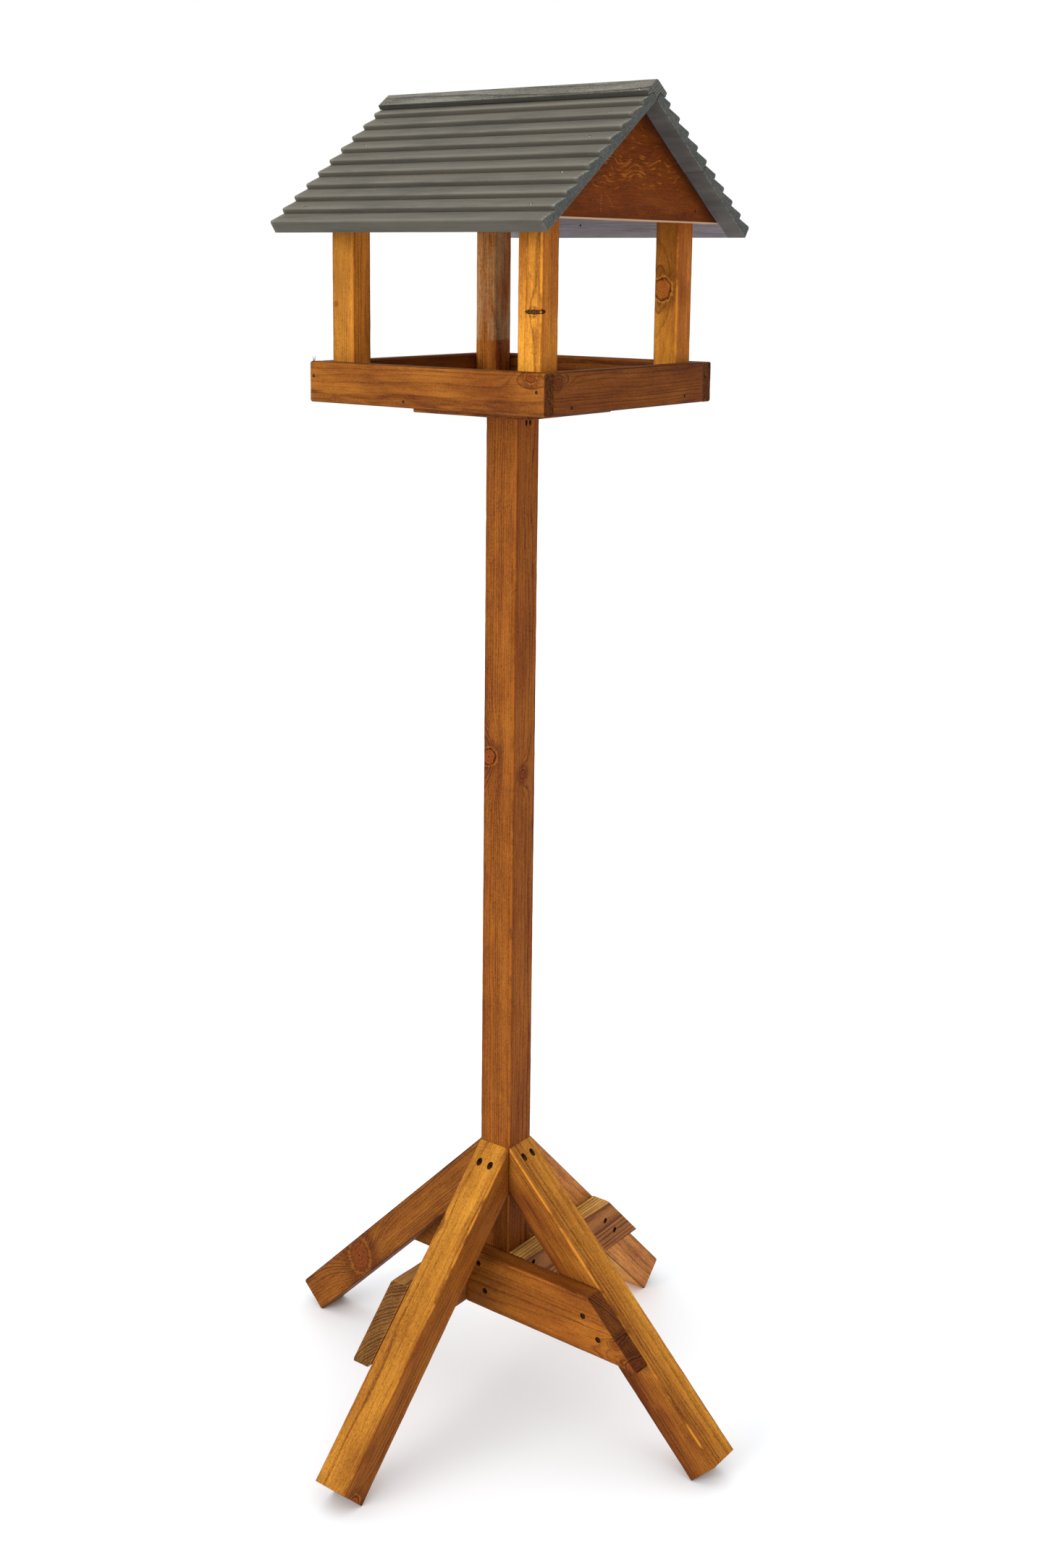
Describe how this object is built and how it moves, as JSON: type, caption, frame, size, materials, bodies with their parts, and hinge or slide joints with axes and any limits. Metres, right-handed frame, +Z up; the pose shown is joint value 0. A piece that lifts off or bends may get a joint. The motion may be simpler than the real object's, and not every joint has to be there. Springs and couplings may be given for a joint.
{
  "type": "bird feeder on pole",
  "caption": "Roofed wooden bird table: shallow rimmed seed tray under a stepped-board gable roof, on a square pole with splayed legs and offset braces.",
  "frame": {"origin": "on the ground, midway between the feet, under the middle of the pole", "axes": "+Z up along the pole, X along the roof ridge, -Y towards the front slope of the roof"},
  "size_m": [0.638, 0.638, 1.5631],
  "materials": {
    "stained_pine": "semi-transparent amber-brown stain on planed pine, satin",
    "gable_board": "dark red-brown stain, satin",
    "painted_roof": "matt grey-green paint, grain showing through",
    "fixings": "dull zinc"
  },
  "bodies": {
    "root": {"pole": "stained_pine", "leg_right": "stained_pine", "leg_back": "stained_pine", "leg_left": "stained_pine", "leg_front": "stained_pine", "brace_right": "stained_pine", "brace_back": "stained_pine", "brace_left": "stained_pine", "brace_front": "stained_pine", "mounting_plate": "stained_pine", "tray_floor": "stained_pine", "rim_front": "stained_pine", "rim_back": "stained_pine", "rim_left": "stained_pine", "rim_right": "stained_pine", "upright_front_left": "stained_pine", "upright_back_left": "stained_pine", "upright_front_right": "stained_pine", "upright_back_right": "stained_pine", "gable_left": "gable_board", "gable_right": "gable_board", "roof_front_upper": "painted_roof", "roof_front_lower": "painted_roof", "roof_back_upper": "painted_roof", "roof_back_lower": "painted_roof", "ridge_cap": "painted_roof", "leg_screw_right_1": "fixings", "leg_screw_right_2": "fixings", "leg_screw_back_1": "fixings", "leg_screw_back_2": "fixings", "leg_screw_left_1": "fixings", "leg_screw_left_2": "fixings", "leg_screw_front_1": "fixings", "leg_screw_front_2": "fixings", "brace_leg_screw_right_1": "fixings", "brace_leg_screw_right_2": "fixings", "brace_leg_screw_back_1": "fixings", "brace_leg_screw_back_2": "fixings", "brace_leg_screw_left_1": "fixings", "brace_leg_screw_left_2": "fixings", "brace_leg_screw_front_1": "fixings", "brace_leg_screw_front_2": "fixings", "brace_pole_screw_right_1": "fixings", "brace_pole_screw_right_2": "fixings", "brace_pole_screw_back_1": "fixings", "brace_pole_screw_back_2": "fixings", "brace_pole_screw_left_1": "fixings", "brace_pole_screw_left_2": "fixings", "brace_pole_screw_front_1": "fixings", "brace_pole_screw_front_2": "fixings", "plate_screw_front_left": "fixings", "plate_screw_back_left": "fixings", "plate_screw_front_right": "fixings", "plate_screw_back_right": "fixings", "skew_nail_left_1": "fixings", "skew_nail_left_2": "fixings", "skew_nail_right_1": "fixings", "skew_nail_right_2": "fixings"}
  },
  "joints": []
}
